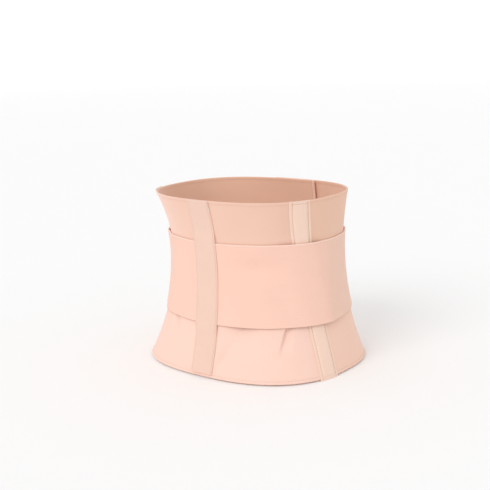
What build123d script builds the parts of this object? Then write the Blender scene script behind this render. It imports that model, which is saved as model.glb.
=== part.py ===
from build123d import *
import math
import os

# Wrap-around elastic back brace, closed as it is worn. Millimetres, +Z up.
# The wearer faces -Y: the closure is at -Y, the wearer's left side is +X.
# Heights are measured from the belt's lower edge, angles round the ring from
# the wearer's left side: 90 is the middle of the back, 270 the middle of the front.

# The belt's outer surface: an oval at every height, narrowest at the waist. It is an
# ellipse there, and squarer towards both edges (the power of a superellipse grows).
BELT_HEIGHT = 230.0
WAIST_HEIGHT = 146.0
WAIST_HALF_WIDTH = 123.0
TOP_WIDTH_FLARE = 7.0
BOTTOM_WIDTH_FLARE = 25.5
WAIST_BACK_DEPTH = 103.0
WAIST_FRONT_DEPTH = 102.0
TOP_BACK_FLARE = 12.0
BOTTOM_BACK_FLARE = 26.0
TOP_FRONT_FLARE = -8.0
BOTTOM_FRONT_FLARE = 13.0
EDGE_SQUARENESS = 0.5

# The ground is under the side casings, and the box is centred front to back.
CASING_OVERHANG = 2.0
CENTRE_SHIFT_Y = -5.2

# Elastic belt and its turned hems.
BELT_THICKNESS = 1.8
HEM_HEIGHT = 5.0
HEM_PROUD = 0.2
SEAM_GAP = 0.05
SPLIT_GAP = 0.3

# Outer compression strap.
STRAP_LOW = 66.5
STRAP_HIGH = 173.5
STRAP_THICKNESS = 1.8
STRAP_CLEARANCE = 0.4

# Centre-back strip with its two stays.
STRIP_HALF_WIDTH = 17.5
STRIP_LOW = 5.6
STRIP_THICKNESS = 2.4
STRIP_CLEARANCE = 0.3
STRIP_STEP_LENGTH = 16.0

# Side casings: edges as angles forward of the middle of the back side, top and bottom.
CASING_REAR_TOP = 35.8
CASING_REAR_BOTTOM = 23.2
CASING_WIDTH_ANGLE = 13.8
CASING_THICKNESS = 2.3
CASING_CLEARANCE = 0.3
CASING_TOP_OVERHANG = 0.6
CASING_STEP = 10.0

# Flat spring-steel stays with dipped plastic tips.
STAY_THICKNESS = 1.0
STAY_WIDTH = 10.0
BACK_STAY_X = 8.6
STAY_LOW = 16.0
STAY_HIGH = 214.0
TIP_LENGTH = 7.0
STAY_PLAY = 0.25

# Front closure: the wearer's right front lies over the left front.
FRONT_END_X = 35.0
FRONT_BINDING_WIDTH = 4.0
LAP_LIFT = 4.2
LAP_RAMP_START = 190.0
LAP_RAMP_END = 243.0
HOOK_THICKNESS = 0.8
LOOP_THICKNESS = 0.7
PATCH_GAP = 0.1
LOOP_PANEL_END_X = 90.0

# Strap ends and what they press on to.
STRAP_SPLIT_ANGLE = 30.0
STRAP_END_LIFT = 1.8
STRAP_RAMP_START = 1.5
STRAP_RAMP_END = 11.5
LEFT_STRAP_END_X = 45.0
RIGHT_STRAP_END_X = 20.0
STRAP_BINDING_WIDTH = 5.0
LEFT_HOOK_FAR_X = 86.0
RIGHT_HOOK_FAR_X = -46.0
LANDING_FAR_X = -78.0
LANDING_NEAR_X = 24.0
PATCH_MARGIN = 4.0

LEVELS = [0, 16, 36, 65, 92, 119, 146, 171, 191, 211, 230]


def flared(waist, top, bottom, height):
    """A half size at a height: quadratic flare above and below the waist."""
    if height > WAIST_HEIGHT:
        return waist + top * ((height - WAIST_HEIGHT) / (BELT_HEIGHT - WAIST_HEIGHT)) ** 2
    return waist + bottom * ((WAIST_HEIGHT - height) / WAIST_HEIGHT) ** 2


def half_width(height):
    return flared(WAIST_HALF_WIDTH, TOP_WIDTH_FLARE, BOTTOM_WIDTH_FLARE, height)


def swell(angle, height):
    """How many times further out the oval lies than an ellipse, at an angle and height."""
    power = flared(2.0, EDGE_SQUARENESS, EDGE_SQUARENESS, height)
    turn = math.radians(angle)
    return (abs(math.cos(turn)) ** power + abs(math.sin(turn)) ** power) ** (-1 / power)


def on_ring(angle, height, out):
    """The point at an angle and height, a distance outside the belt's outer surface."""
    back = flared(WAIST_BACK_DEPTH, TOP_BACK_FLARE, BOTTOM_BACK_FLARE, height)
    front = flared(WAIST_FRONT_DEPTH, TOP_FRONT_FLARE, BOTTOM_FRONT_FLARE, height)
    a = half_width(height) * swell(angle, height) + out
    b = (back + front) / 2 * swell(angle, height) + out
    turn = math.radians(angle)
    y = (back - front) / 2 + b * math.sin(turn) + CENTRE_SHIFT_Y
    return Vector(a * math.cos(turn), y, height + CASING_OVERHANG)


def back_angle(x, height):
    """The ring angle on the back half at a sideways position."""
    angle = 90.0
    for _ in range(6):
        angle = math.degrees(math.acos(x / half_width(height) / swell(angle, height)))
    return angle


def front_angle(x, height):
    """The ring angle on the front half at a sideways position."""
    return 360 - back_angle(x, height)


def smooth(value):
    """A smooth step from 0 to 1 as value goes from 0 to 1."""
    clamped = min(max(value, 0.0), 1.0)
    return clamped * clamped * (3 - 2 * clamped)


def spread(low, high, step):
    """Evenly spaced heights from low to high."""
    count = max(2, math.ceil((high - low) / step) + 1)
    return [low + (high - low) * i / (count - 1) for i in range(count)]


def belt_levels(low, high):
    """The belt's section heights between two heights, with both ends."""
    inner = [level for level in LEVELS if low + 3 < level < high - 3]
    return [low] + inner + [high]


def wall(heights, start, end, inner, outer, points):
    """A thin curved wall, lofted through one ring section at each height."""
    steps = [i / (points - 1) for i in range(points)]
    sections = []
    for height in heights:
        first = start(height)
        sweep = end(height) - first
        angles = [first + sweep * step for step in steps]
        outside = [on_ring(a, height, outer(a, height)) for a in angles]
        inside = [on_ring(a, height, inner(a, height)) for a in reversed(angles)]
        outline = Wire(
            [
                Edge.make_spline(outside, parameters=steps),
                Edge.make_line(outside[-1], inside[0]),
                Edge.make_spline(inside, parameters=steps),
                Edge.make_line(inside[-1], outside[0]),
            ]
        )
        sections.append(Face(outline))
    return loft(sections)


def fixed(value):
    """The same value at every height."""
    return lambda height: value


def layer(low, high):
    """Inner and outer offsets of an even layer, measured from the belt's outer surface."""
    return (lambda angle, height: low), (lambda angle, height: high)


def lap(angle):
    """How far the wearer's right front stands off the belt surface, to lie over the left."""
    ramp = (angle - LAP_RAMP_START) / (LAP_RAMP_END - LAP_RAMP_START)
    return LAP_LIFT * smooth(ramp)


def lapped(low, high):
    """A layer that follows the wearer's right front over the left front."""
    return (lambda angle, height: low + lap(angle)), (lambda angle, height: high + lap(angle))


def at_back(x):
    return lambda height: back_angle(x, height)


def at_front(x):
    return lambda height: front_angle(x, height)


# Belt: back


def back_panel(left):
    """One half of the elastic back, from the side split to the centre-back seam."""
    low = HEM_HEIGHT + SEAM_GAP
    high = BELT_HEIGHT - HEM_HEIGHT - SEAM_GAP
    inner, outer = layer(-BELT_THICKNESS, 0)
    if left:
        return wall(belt_levels(low, high), fixed(SPLIT_GAP / 2), at_back(0.3), inner, outer, 24)
    return wall(belt_levels(low, high), at_back(-0.3), fixed(180 - SPLIT_GAP / 2), inner, outer, 24)


def back_hem(low):
    """A turned hem along one edge of the back, a little thicker than the elastic."""
    inner, outer = layer(-BELT_THICKNESS - HEM_PROUD, HEM_PROUD)
    heights = spread(low, low + HEM_HEIGHT, 2.5)
    return wall(heights, fixed(SPLIT_GAP / 2), fixed(180 - SPLIT_GAP / 2), inner, outer, 41)


# Side casings and stays


def casing_edge(rear, height):
    """How far round from the side an edge of the side casing lies, towards the back."""
    rise = height / BELT_HEIGHT
    angle = CASING_REAR_BOTTOM + (CASING_REAR_TOP - CASING_REAR_BOTTOM) * rise
    if rear:
        return angle
    return angle - CASING_WIDTH_ANGLE


def casing_span(left, margin):
    """Start and end angles of a band down the middle of a side casing, in from its edges."""
    if left:
        start = lambda height: casing_edge(False, height) + margin
        end = lambda height: casing_edge(True, height) - margin
        return start, end
    start = lambda height: 180 - casing_edge(True, height) + margin
    end = lambda height: 180 - casing_edge(False, height) - margin
    return start, end


def stay_margin(play):
    """Angle from a casing edge to the stay, leaving play each side of the stay."""
    width = math.degrees((STAY_WIDTH + 2 * play) / WAIST_BACK_DEPTH)
    return (CASING_WIDTH_ANGLE - width) / 2


def side_stay(left):
    start, end = casing_span(left, stay_margin(0))
    low = CASING_CLEARANCE + STAY_PLAY
    inner, outer = layer(low, low + STAY_THICKNESS)
    return wall(spread(STAY_LOW, STAY_HIGH, CASING_STEP), start, end, inner, outer, 5)


def side_tips(left):
    """Plastic tips on the two ends of a side stay."""
    start, end = casing_span(left, stay_margin(0))
    low = CASING_CLEARANCE + STAY_PLAY
    inner, outer = layer(low, low + STAY_THICKNESS)
    below = spread(STAY_LOW - SEAM_GAP - TIP_LENGTH, STAY_LOW - SEAM_GAP, 4)
    above = spread(STAY_HIGH + SEAM_GAP, STAY_HIGH + SEAM_GAP + TIP_LENGTH, 4)
    return [wall(heights, start, end, inner, outer, 5) for heights in (below, above)]


def side_casing(left):
    """Fabric casing sewn to the belt, with a closed channel for the stay."""
    start, end = casing_span(left, 0)
    inner, outer = layer(CASING_CLEARANCE, CASING_CLEARANCE + CASING_THICKNESS)
    heights = spread(-CASING_OVERHANG, BELT_HEIGHT + CASING_TOP_OVERHANG, CASING_STEP)
    body = wall(heights, start, end, inner, outer, 7)
    start, end = casing_span(left, stay_margin(0.4))
    roof = CASING_CLEARANCE + STAY_THICKNESS + 2 * STAY_PLAY
    inner, outer = layer(0, roof)
    low = STAY_LOW - TIP_LENGTH - 1
    high = STAY_HIGH + TIP_LENGTH + 1
    return body - wall(spread(low, high, CASING_STEP), start, end, inner, outer, 5)


# Strap


def over_casing(angle, height):
    """1 where the strap rides over a side casing, falling to 0 each side of it."""
    around = min(angle % 360, abs(180 - angle % 360))
    middle = (casing_edge(True, height) + casing_edge(False, height)) / 2
    beyond = abs(around - middle) - CASING_WIDTH_ANGLE / 2 - 0.3
    return 1 - smooth(beyond / 5)


def strap_under(angle, height):
    """The strap's inner face on the back and sides."""
    return STRAP_CLEARANCE + (CASING_THICKNESS + 0.1) * over_casing(angle, height)


def strap_over(angle, height):
    return strap_under(angle, height) + STRAP_THICKNESS


def strap_back(left):
    """Rear half of the strap, from the side split to under the centre-back strip."""
    heights = spread(STRAP_LOW, STRAP_HIGH, 15)
    if left:
        return wall(heights, fixed(SPLIT_GAP / 2), at_back(0.5), strap_under, strap_over, 61)
    return wall(heights, at_back(-0.5), fixed(180 - SPLIT_GAP / 2), strap_under, strap_over, 61)


def strap_side(left):
    """The strap's length that is fixed to one front, from the side split to the strap end."""
    heights = spread(STRAP_LOW, STRAP_HIGH, 18)
    low = STRAP_CLEARANCE
    high = STRAP_CLEARANCE + STRAP_THICKNESS
    if left:
        inner, outer = layer(low, high)
        start = 360 - STRAP_SPLIT_ANGLE + SPLIT_GAP / 2
        return wall(heights, fixed(start), fixed(360 - SPLIT_GAP / 2), inner, outer, 12)
    inner, outer = lapped(low, high)
    end = 180 + STRAP_SPLIT_ANGLE - SPLIT_GAP / 2
    return wall(heights, fixed(180 + SPLIT_GAP / 2), fixed(end), inner, outer, 16)


def strap_end_rise(angle):
    """How far a strap end lifts over its hook patch, past its split."""
    past = abs(angle - 270)
    run = 90 - STRAP_SPLIT_ANGLE - past
    return STRAP_END_LIFT * smooth((run - STRAP_RAMP_START) / (STRAP_RAMP_END - STRAP_RAMP_START))


def strap_end_layer(low, high, left):
    """Inner and outer offsets of a layer that follows a strap end."""
    base = (lambda angle: 0) if left else lap
    inner = lambda angle, height: low + strap_end_rise(angle) + base(angle)
    outer = lambda angle, height: high + strap_end_rise(angle) + base(angle)
    return inner, outer


def strap_end(left):
    """Free end of the strap, up to its edge binding."""
    heights = spread(STRAP_LOW, STRAP_HIGH, 18)
    low = STRAP_CLEARANCE
    high = STRAP_CLEARANCE + STRAP_THICKNESS
    inner, outer = strap_end_layer(low, high, left)
    if left:
        near = at_front(LEFT_STRAP_END_X + STRAP_BINDING_WIDTH + SEAM_GAP)
        far = fixed(360 - STRAP_SPLIT_ANGLE - SPLIT_GAP / 2)
        return wall(heights, near, far, inner, outer, 31)
    near = fixed(180 + STRAP_SPLIT_ANGLE + SPLIT_GAP / 2)
    far = at_front(RIGHT_STRAP_END_X - STRAP_BINDING_WIDTH - SEAM_GAP)
    return wall(heights, near, far, inner, outer, 41)


def strap_end_binding(left):
    """Folded binding across the strap's end."""
    heights = spread(STRAP_LOW, STRAP_HIGH, 18)
    low = STRAP_CLEARANCE - HEM_PROUD
    high = STRAP_CLEARANCE + STRAP_THICKNESS + HEM_PROUD
    inner, outer = strap_end_layer(low, high, left)
    if left:
        near = at_front(LEFT_STRAP_END_X)
        far = at_front(LEFT_STRAP_END_X + STRAP_BINDING_WIDTH)
        return wall(heights, near, far, inner, outer, 5)
    near = at_front(RIGHT_STRAP_END_X - STRAP_BINDING_WIDTH)
    far = at_front(RIGHT_STRAP_END_X)
    return wall(heights, near, far, inner, outer, 5)


def strap_hook(left):
    """Hook patch on the inner face of the strap end."""
    heights = spread(STRAP_LOW + PATCH_MARGIN, STRAP_HIGH - PATCH_MARGIN, 16)
    high = STRAP_CLEARANCE - PATCH_GAP
    inner, outer = strap_end_layer(high - HOOK_THICKNESS, high, left)
    if left:
        near = at_front(LEFT_STRAP_END_X + STRAP_BINDING_WIDTH + 1)
        far = at_front(LEFT_HOOK_FAR_X)
        return wall(heights, near, far, inner, outer, 13)
    near = at_front(RIGHT_HOOK_FAR_X)
    far = at_front(RIGHT_STRAP_END_X - STRAP_BINDING_WIDTH - 1)
    return wall(heights, near, far, inner, outer, 15)


# Centre-back strip and its stays


def strip_under(angle, height):
    """The strip's inner face: over the strap, and stepping down on to the belt beyond it."""
    beyond = max(STRAP_LOW - 1.5 - height, height - STRAP_HIGH - 1.5)
    rise = STRAP_CLEARANCE + STRAP_THICKNESS
    return STRIP_CLEARANCE + rise * (1 - smooth(beyond / STRIP_STEP_LENGTH))


def strip_layer(low, high):
    inner = lambda angle, height: strip_under(angle, height) + low
    outer = lambda angle, height: strip_under(angle, height) + high
    return inner, outer


def back_stay(left):
    """Flat stay in one of the strip's two channels, following the strip's step."""
    side = 1 if left else -1
    edges = sorted([side * (BACK_STAY_X - STAY_WIDTH / 2), side * (BACK_STAY_X + STAY_WIDTH / 2)])
    inner, outer = strip_layer(STAY_PLAY, STAY_PLAY + STAY_THICKNESS)
    heights = spread(STAY_LOW, STAY_HIGH, 5)
    return wall(heights, at_back(edges[1]), at_back(edges[0]), inner, outer, 5)


def back_tips(left):
    """Plastic tips on the two ends of a back stay."""
    side = 1 if left else -1
    edges = sorted([side * (BACK_STAY_X - STAY_WIDTH / 2), side * (BACK_STAY_X + STAY_WIDTH / 2)])
    inner, outer = strip_layer(STAY_PLAY, STAY_PLAY + STAY_THICKNESS)
    below = spread(STAY_LOW - SEAM_GAP - TIP_LENGTH, STAY_LOW - SEAM_GAP, 4)
    above = spread(STAY_HIGH + SEAM_GAP, STAY_HIGH + SEAM_GAP + TIP_LENGTH, 4)
    tips = []
    for heights in (below, above):
        tips.append(wall(heights, at_back(edges[1]), at_back(edges[0]), inner, outer, 5))
    return tips


def centre_back_strip():
    """Fabric strip down the middle of the back, with a closed channel for each stay."""
    inner, outer = strip_layer(0, STRIP_THICKNESS)
    heights = spread(STRIP_LOW, BELT_HEIGHT, 5)
    start = at_back(STRIP_HALF_WIDTH)
    strip = wall(heights, start, at_back(-STRIP_HALF_WIDTH), inner, outer, 9)
    inner, outer = strip_layer(-0.2, STAY_THICKNESS + 2 * STAY_PLAY)
    half = STAY_WIDTH / 2 + 0.4
    heights = spread(STAY_LOW - TIP_LENGTH - 1, STAY_HIGH + TIP_LENGTH + 1, 5)
    for x in (-BACK_STAY_X, BACK_STAY_X):
        strip -= wall(heights, at_back(x + half), at_back(x - half), inner, outer, 5)
    return strip


# Belt: fronts


def front_panel(left):
    """One elastic front, from the side split to the binding on its end."""
    low = HEM_HEIGHT + SEAM_GAP
    high = BELT_HEIGHT - HEM_HEIGHT - SEAM_GAP
    end = FRONT_END_X - FRONT_BINDING_WIDTH - SEAM_GAP
    if left:
        inner, outer = layer(-BELT_THICKNESS, 0)
        far = fixed(360 - SPLIT_GAP / 2)
        return wall(belt_levels(low, high), at_front(-end), far, inner, outer, 31)
    inner, outer = lapped(-BELT_THICKNESS, 0)
    far = fixed(180 + SPLIT_GAP / 2)
    return wall(belt_levels(low, high), far, at_front(end), inner, outer, 41)


def front_hem(left, low):
    """Turned hem along one edge of a front."""
    heights = spread(low, low + HEM_HEIGHT, 2.5)
    end = FRONT_END_X - FRONT_BINDING_WIDTH - SEAM_GAP
    if left:
        inner, outer = layer(-BELT_THICKNESS - HEM_PROUD, HEM_PROUD)
        far = fixed(360 - SPLIT_GAP / 2)
        return wall(heights, at_front(-end), far, inner, outer, 31)
    inner, outer = lapped(-BELT_THICKNESS - HEM_PROUD, HEM_PROUD)
    far = fixed(180 + SPLIT_GAP / 2)
    return wall(heights, far, at_front(end), inner, outer, 41)


def front_binding(left):
    """Folded binding down the end of a front, over the full height."""
    heights = belt_levels(0, BELT_HEIGHT)
    low = -BELT_THICKNESS - HEM_PROUD
    near = FRONT_END_X - FRONT_BINDING_WIDTH
    if left:
        inner, outer = layer(low, HEM_PROUD)
        return wall(heights, at_front(-FRONT_END_X), at_front(-near), inner, outer, 5)
    inner, outer = lapped(low, HEM_PROUD)
    return wall(heights, at_front(near), at_front(FRONT_END_X), inner, outer, 5)


def front_hook_panel():
    """Hook panel on the inner face of the wearer's right front."""
    high = -BELT_THICKNESS - PATCH_GAP
    inner, outer = lapped(high - HOOK_THICKNESS, high)
    end = FRONT_END_X - FRONT_BINDING_WIDTH - 1
    low = HEM_HEIGHT + PATCH_MARGIN
    heights = belt_levels(low, BELT_HEIGHT - low)
    return wall(heights, at_front(-end), at_front(end), inner, outer, 13)


def front_loop_panel():
    """Loop panel on the outer face of the wearer's left front."""
    inner, outer = layer(PATCH_GAP, PATCH_GAP + LOOP_THICKNESS)
    end = FRONT_END_X - FRONT_BINDING_WIDTH - 1
    low = HEM_HEIGHT + PATCH_MARGIN
    heights = belt_levels(low, BELT_HEIGHT - low)
    return wall(heights, at_front(-end), at_front(LOOP_PANEL_END_X), inner, outer, 17)


def strap_landing():
    """Loop patch on the wearer's right front, for the end of the right strap."""
    inner, outer = lapped(PATCH_GAP, PATCH_GAP + LOOP_THICKNESS)
    heights = spread(STRAP_LOW + PATCH_MARGIN, STRAP_HIGH - PATCH_MARGIN, 16)
    return wall(heights, at_front(LANDING_FAR_X), at_front(LANDING_NEAR_X), inner, outer, 17)


TOP_HEM_LOW = BELT_HEIGHT - HEM_HEIGHT

nodes = {
    "back_panel_left": [back_panel(True)],
    "back_panel_right": [back_panel(False)],
    "back_top_hem": [back_hem(TOP_HEM_LOW)],
    "back_bottom_hem": [back_hem(0)],
    "centre_back_strip": [centre_back_strip()],
    "back_stay_left": [back_stay(True)],
    "back_stay_right": [back_stay(False)],
    "back_stay_tips": back_tips(True) + back_tips(False),
    "side_casing_left": [side_casing(True)],
    "side_casing_right": [side_casing(False)],
    "side_stay_left": [side_stay(True)],
    "side_stay_right": [side_stay(False)],
    "side_stay_tips": side_tips(True) + side_tips(False),
    "strap_back_left": [strap_back(True)],
    "strap_back_right": [strap_back(False)],
    "front_panel_right": [front_panel(False)],
    "front_top_hem_right": [front_hem(False, TOP_HEM_LOW)],
    "front_bottom_hem_right": [front_hem(False, 0)],
    "front_binding_right": [front_binding(False)],
    "front_hook_panel": [front_hook_panel()],
    "strap_landing_patch": [strap_landing()],
    "strap_side_right": [strap_side(False)],
    "front_panel_left": [front_panel(True)],
    "front_top_hem_left": [front_hem(True, TOP_HEM_LOW)],
    "front_bottom_hem_left": [front_hem(True, 0)],
    "front_binding_left": [front_binding(True)],
    "front_loop_panel": [front_loop_panel()],
    "strap_side_left": [strap_side(True)],
    "strap_end_right": [strap_end(False)],
    "strap_end_binding_right": [strap_end_binding(False)],
    "strap_hook_right": [strap_hook(False)],
    "strap_end_left": [strap_end(True)],
    "strap_end_binding_left": [strap_end_binding(True)],
    "strap_hook_left": [strap_hook(True)],
}

os.makedirs("parts", exist_ok=True)
for name, solids in nodes.items():
    shape = solids[0] if len(solids) == 1 else Compound(children=solids)
    export_step(shape, f"parts/{name}.step")
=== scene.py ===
import math

import bpy
import numpy as np
from mathutils import Matrix, Vector


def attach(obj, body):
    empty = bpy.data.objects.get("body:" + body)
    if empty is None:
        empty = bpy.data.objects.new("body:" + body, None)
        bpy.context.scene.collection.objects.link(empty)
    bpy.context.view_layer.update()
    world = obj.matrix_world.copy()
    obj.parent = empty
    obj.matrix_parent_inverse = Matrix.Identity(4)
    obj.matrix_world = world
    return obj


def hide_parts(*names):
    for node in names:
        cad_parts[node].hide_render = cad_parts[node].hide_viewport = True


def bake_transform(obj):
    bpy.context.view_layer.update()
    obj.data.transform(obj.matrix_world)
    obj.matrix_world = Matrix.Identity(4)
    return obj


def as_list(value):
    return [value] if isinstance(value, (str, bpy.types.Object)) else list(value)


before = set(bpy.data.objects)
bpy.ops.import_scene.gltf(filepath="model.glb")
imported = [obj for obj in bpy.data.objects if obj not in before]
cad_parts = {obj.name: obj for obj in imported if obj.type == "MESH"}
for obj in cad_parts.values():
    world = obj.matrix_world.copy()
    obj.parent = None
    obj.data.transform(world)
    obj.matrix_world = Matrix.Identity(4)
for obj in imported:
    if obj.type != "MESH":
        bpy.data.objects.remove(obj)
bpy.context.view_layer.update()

# Looks for the wrap-around elastic back brace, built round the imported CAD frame.
# Lengths are millimetres until a mesh is made. A ring angle is in degrees: 0 at the wearer's
# left, 90 at the middle of the back, 180 at the wearer's right and 270 at the middle of the
# front. Heights start at the belt's lower edge. "Out" is the distance outside the belt's surface.

MM = 0.001
# About how long a degree of the ring is, and how long a step of the weave UV map is.
MM_PER_DEGREE = 2.0
UV_STEP = 100.0

# The worn shape, as in the CAD model.
BELT_HEIGHT = 230.0
WAIST_HEIGHT = 146.0
WAIST_HALF_WIDTH = 123.0
TOP_WIDTH_FLARE = 7.0
BOTTOM_WIDTH_FLARE = 25.5
WAIST_BACK_DEPTH = 103.0
WAIST_FRONT_DEPTH = 102.0
TOP_BACK_FLARE = 12.0
BOTTOM_BACK_FLARE = 26.0
TOP_FRONT_FLARE = -8.0
BOTTOM_FRONT_FLARE = 13.0
EDGE_SQUARENESS = 0.5
CENTRE_Y = -5.2
GROUND_GAP = 2.0
LAP_LIFT = 4.2
LAP_START = 190.0
LAP_END = 243.0

# Belt, hems and bindings.
CLOTH = 1.8
BELT_INSET = 1.5
HEM_HEIGHT = 5.2
HEM_SEAM = 3.7
HEM_OUT = 0.22
HEM_IN = 2.02
STITCH_SINK = 0.06
FRONT_END_X = 35.0
BINDING_WIDTH = 4.0
BINDING_TUCK = 1.0
BINDING_OUT = 0.5
BINDING_IN = 2.3
FRONT_EDGE = FRONT_END_X - BINDING_WIDTH / 2
PANEL_END_X = FRONT_END_X - BINDING_WIDTH - BINDING_TUCK

# Side casings, as angles round from the side.
CASING_REAR_TOP = 35.8
CASING_REAR_BOTTOM = 23.2
CASING_WIDTH = 13.8
CASING_WIDENING = 0.8
CASING_LOW = -2.0
CASING_HIGH = BELT_HEIGHT + 0.6
CASING_DIP = 1.3
CASING_DIP_REACH = 14
CASING_STAND = 1.0
CASING_STAND_REACH = 45

# Strap, its free ends and their tapes.
STRAP_LOW = 66.5
STRAP_HIGH = 173.5
STRAP_GAP = 0.4
STRAP_OVER_CASING = 2.4
STRAP_SPLIT = 30.0
STRAP_SEAM = 23.0
SELVAGE_RISE = 0.15
SELVAGE_PLACE = 0.9
TIP_X = {"right": 20.0, "left": 45.0}
TIP_BINDING = 6.0
TIP_BINDING_OUT = 0.25
HOOK_FAR_X = {"right": -46.0, "left": 86.0}
HOOK_THICKNESS = 0.85
HOOK_LIFT = 1.8
PEEL_BEND = 6.0
TAPE_INSET = 4.0

# Centre-back strip.
STRIP_HALF_WIDTH = 17.5
STRIP_LOW = 5.6
STRIP_THICKNESS = 1.9
STRIP_LEAN_BOTTOM = -2.6
STRIP_LEAN = 4.6
STRIP_CURL = 2.0
STAY_X = 8.6
STRIP_SEAM_X = 15.4

# Hook and loop panels on the fronts.
PANEL_INSET = 9.0
LOOP_FAR_X = 90.0
LANDING_X = (-78.0, 24.0)
TAPE_OUT = 0.8
TAPE_GAP = 0.05

# Folds. A place is (ring angle, height), and a spread is its reach in each.
HOLLOW = (124, 139)
HOLLOW_SPREAD = (14, 16)
HOLLOW_DEPTH = 5.0
CREASES = (128, 112)
CREASES_SPREAD = (22, 20)
RIGHT_PLEAT = ((141.2, 70), (134.2, 28))
RIGHT_PLEAT_SIDES = (8.0, 1.3)
RIGHT_PLEAT_DEPTH = 4.8
PLEAT_RIDGE_ANGLE = 143.5
PLEAT_RIDGE = 1.2
LEFT_PLEAT = ((61.5, 70), (67.5, 42))
LEFT_PLEAT_SIDES = (4.0, 1.7)
LEFT_PLEAT_DEPTH = 3.2
WEDGE_ANGLE = 98.7
WEDGE_FOOT = 8
WEDGE_TALL = 55
WEDGE_WIDE = 27
WEDGE_CREST = 2.0
WEDGE_FALL = 6.2
STRAP_RIDGE_ANGLE = 173.5
STRAP_RIDGE = 2.6

# The camera, in the same frame.
CAMERA_AZIMUTH = 218.19
CAMERA_DISTANCE = 1329.8
CAMERA_HEIGHT = 431.1
CAMERA_YAW = 0.01187
CAMERA_PITCH = 0.20769
CAMERA_ROLL = 0.03334
CAMERA_LENS = 72.59
CAMERA_SENSOR = 36.0

# The sun stands on the camera's side of the brace, to the left and above. The floor is in metres.
SUN_LEFT = 0.62
SUN_BEHIND = 0.73
SUN_UP = 0.72
SUN_STRENGTH = 0.86
SUN_SOFTNESS = 35.0
SKY_STRENGTH = 0.84
FLOOR_RADIUS = 8.0
RIM_HEIGHT = 3.0


# Ring geometry


def flared(height, waist, top, bottom):
    """A measure at a height, from its value at the waist and what it gains by each edge."""
    rise = np.clip((height - WAIST_HEIGHT) / (BELT_HEIGHT - WAIST_HEIGHT), 0, None)
    fall = np.clip((WAIST_HEIGHT - height) / WAIST_HEIGHT, 0, None)
    return waist + top * rise**2 + bottom * fall**2


def half_width(height):
    return flared(height, WAIST_HALF_WIDTH, TOP_WIDTH_FLARE, BOTTOM_WIDTH_FLARE)


def swell(angle, height):
    """How many times further out the oval lies than an ellipse."""
    power = flared(height, 2.0, EDGE_SQUARENESS, EDGE_SQUARENESS)
    turn = np.radians(angle)
    return (np.abs(np.cos(turn)) ** power + np.abs(np.sin(turn)) ** power) ** (-1 / power)


def on_ring(angle, height, out):
    """Points in the shared frame, in metres, from ring angles, heights and distances out."""
    back = flared(height, WAIST_BACK_DEPTH, TOP_BACK_FLARE, BOTTOM_BACK_FLARE)
    front = flared(height, WAIST_FRONT_DEPTH, TOP_FRONT_FLARE, BOTTOM_FRONT_FLARE)
    turn = np.radians(angle)
    bulge = swell(angle, height)
    x = (half_width(height) * bulge + out) * np.cos(turn)
    y = (back - front) / 2 + ((back + front) / 2 * bulge + out) * np.sin(turn) + CENTRE_Y
    return np.stack([x, y, height + GROUND_GAP + 0 * angle], axis=-1) * MM


def back_angle(x, height):
    """The ring angle on the back, x to the wearer's left of the middle."""
    angle = 90 + 0 * height
    for _ in range(6):
        angle = np.degrees(np.arccos(x / half_width(height) / swell(angle, height)))
    return angle


# An edge is a function that gives its ring angle at a height, and a span is a pair of edges.


def at_back(x):
    return lambda height: back_angle(x, height)


def strip_middle(height):
    """How far the centre-back strip's middle lies to the wearer's left: it is worn a little askew."""
    up = height / BELT_HEIGHT
    return STRIP_LEAN_BOTTOM + STRIP_LEAN * up + STRIP_CURL * up**3


def on_strip(x):
    return lambda height: back_angle(x + strip_middle(height), height)


def at_front(x):
    return lambda height: 360 - back_angle(x, height)


def fixed(value):
    return lambda height: value + 0 * height


def smooth(value):
    clamped = np.clip(value, 0, 1)
    return clamped * clamped * (3 - 2 * clamped)


def bell(value):
    return np.exp(-value * value)


def above(height, start, length):
    """0 below start, rising smoothly to 1 over a length."""
    return smooth((height - start) / length)


def below(height, start, length):
    """0 above start, rising smoothly to 1 over a length downwards."""
    return smooth((start - height) / length)


def lap(angle):
    """How far the wearer's right front stands off, to lie over the left."""
    return LAP_LIFT * smooth((angle - LAP_START) / (LAP_END - LAP_START))


def unlapped(angle):
    return 0 * angle


def lift(right):
    """How far a front's layers stand off, as a function of the ring angle."""
    return lap if right else unlapped


def casing_edge(rear, height):
    """The rear or front edge of a side casing, as an angle round from the side."""
    up = height / BELT_HEIGHT
    angle = CASING_REAR_BOTTOM + (CASING_REAR_TOP - CASING_REAR_BOTTOM) * smooth(up)
    return angle if rear else angle - CASING_WIDTH - CASING_WIDENING * up


def from_side(angle):
    """Degrees round from the nearer side towards the back, negative towards the front."""
    turned = np.mod(angle, 360)
    right = 180 - turned
    left = np.where(turned > 270, turned - 360, turned)
    return np.where((turned > 90) & (turned < 270), right, left)


def near_casing(angle, height):
    """1 over a side casing, falling smoothly to 0 behind it and in front."""
    # the fall is longer behind the right casing, where the strap stands off further
    fall = np.where(np.mod(angle, 360) > 90, 15, 6)
    behind = (from_side(angle) - casing_edge(True, height) - 0.3) / fall
    ahead = (casing_edge(False, height) - 0.3 - from_side(angle)) / 11
    return 1 - smooth(np.maximum(behind, ahead))


# Relief: what tension and folding do to the cloth


def groove(angle, height, start, end, left, right, depth):
    """A valley along a line from start to end, each (angle, height), with its own slope each side."""
    ax, ay = start[0] * MM_PER_DEGREE, start[1]
    bx, by = end[0] * MM_PER_DEGREE, end[1]
    length = math.hypot(bx - ax, by - ay)
    ux, uy = (bx - ax) / length, (by - ay) / length
    px, py = angle * MM_PER_DEGREE - ax, height - ay
    along = (px * ux + py * uy) / length
    across = px * uy - py * ux
    width = np.where(across < 0, left, right)
    return -depth * bell(across / width) * smooth(1.15 - np.abs(along - 0.2) / 0.75)


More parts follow.
